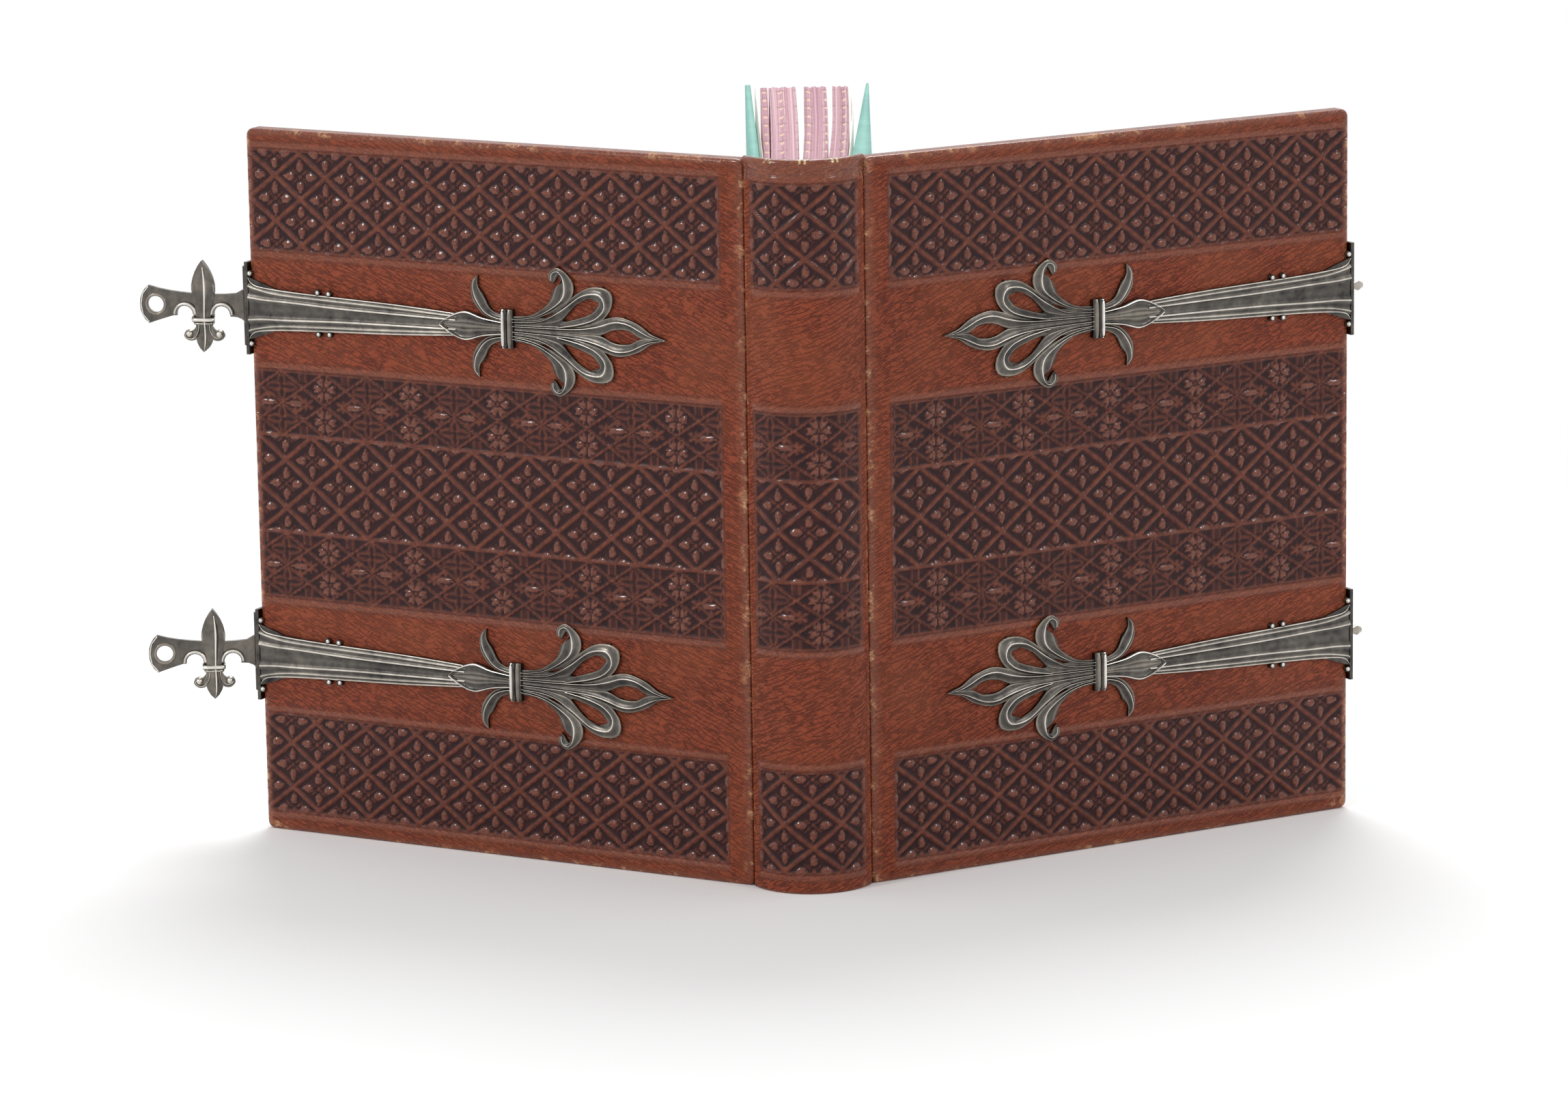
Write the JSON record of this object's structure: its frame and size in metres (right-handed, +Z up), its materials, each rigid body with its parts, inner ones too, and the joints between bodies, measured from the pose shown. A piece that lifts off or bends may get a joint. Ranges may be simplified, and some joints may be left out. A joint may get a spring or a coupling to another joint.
{
  "type": "book of hours",
  "caption": "Small medieval book in tooled leather over wooden boards, standing open on its tail, with pierced silver straps and hinged clasps that catch on ball-headed pins.",
  "frame": {"origin": "middle of the tail cap's foot, where the spine stands on the table", "axes": "+X to the right along the spread covers as seen from the spine, +Y from the spine to the fore-edge of the leaves, +Z up from tail to head"},
  "size_m": [0.3257, 0.1557, 0.1911],
  "materials": {
    "leather": "worn satin",
    "oak": "sanded",
    "dyed_paper": "matte",
    "silver": "worn, dark in the hollows",
    "silver_pin": "worn",
    "leaves": "gilt and dyed edges",
    "silk": "satin",
    "linen": "matte",
    "cord": "matte"
  },
  "bodies": {
    "book_block": {"text_block": "leaves", "sewing_supports": "cord", "spine_lining": "silver_pin", "spine_leather": "leather", "head_endband": "silk", "tail_endband": "silk", "front_flyleaf": "dyed_paper", "back_flyleaf": "dyed_paper"},
    "front_cover": {"front_board": "oak", "front_leather": "leather", "front_doublure": "dyed_paper", "front_lacings": "cord", "front_upper_strap": "silver", "front_lower_strap": "silver", "upper_catch_pin": "silver_pin", "lower_catch_pin": "silver_pin"},
    "back_cover": {"back_board": "oak", "back_leather": "leather", "back_doublure": "dyed_paper", "back_lacings": "cord", "back_upper_strap": "silver", "back_lower_strap": "silver", "upper_hinge_pin": "silver_pin", "lower_hinge_pin": "silver_pin"},
    "upper_clasp": {"upper_clasp": "silver"},
    "lower_clasp": {"lower_clasp": "silver"}
  },
  "joints": [
    {"name": "back_cover", "type": "hinge", "parent": "book_block", "child": "back_cover", "pos_m": [-0.0152, 0.0089, 0.095], "axis": [0, 0, 1], "range_deg": [-61.5, 45]},
    {"name": "front_cover", "type": "hinge", "parent": "book_block", "child": "front_cover", "pos_m": [0.0152, 0.0089, 0.095], "axis": [0, 0, -1], "range_deg": [-61.5, 45]},
    {"name": "upper_clasp", "type": "hinge", "parent": "back_cover", "child": "upper_clasp", "pos_m": [-0.14649, 0.08292, 0.142], "axis": [0, 0, 1], "range_deg": [-108, 57]},
    {"name": "lower_clasp", "type": "hinge", "parent": "back_cover", "child": "lower_clasp", "pos_m": [-0.14649, 0.08292, 0.048], "axis": [0, 0, 1], "range_deg": [-122, 43]}
  ]
}
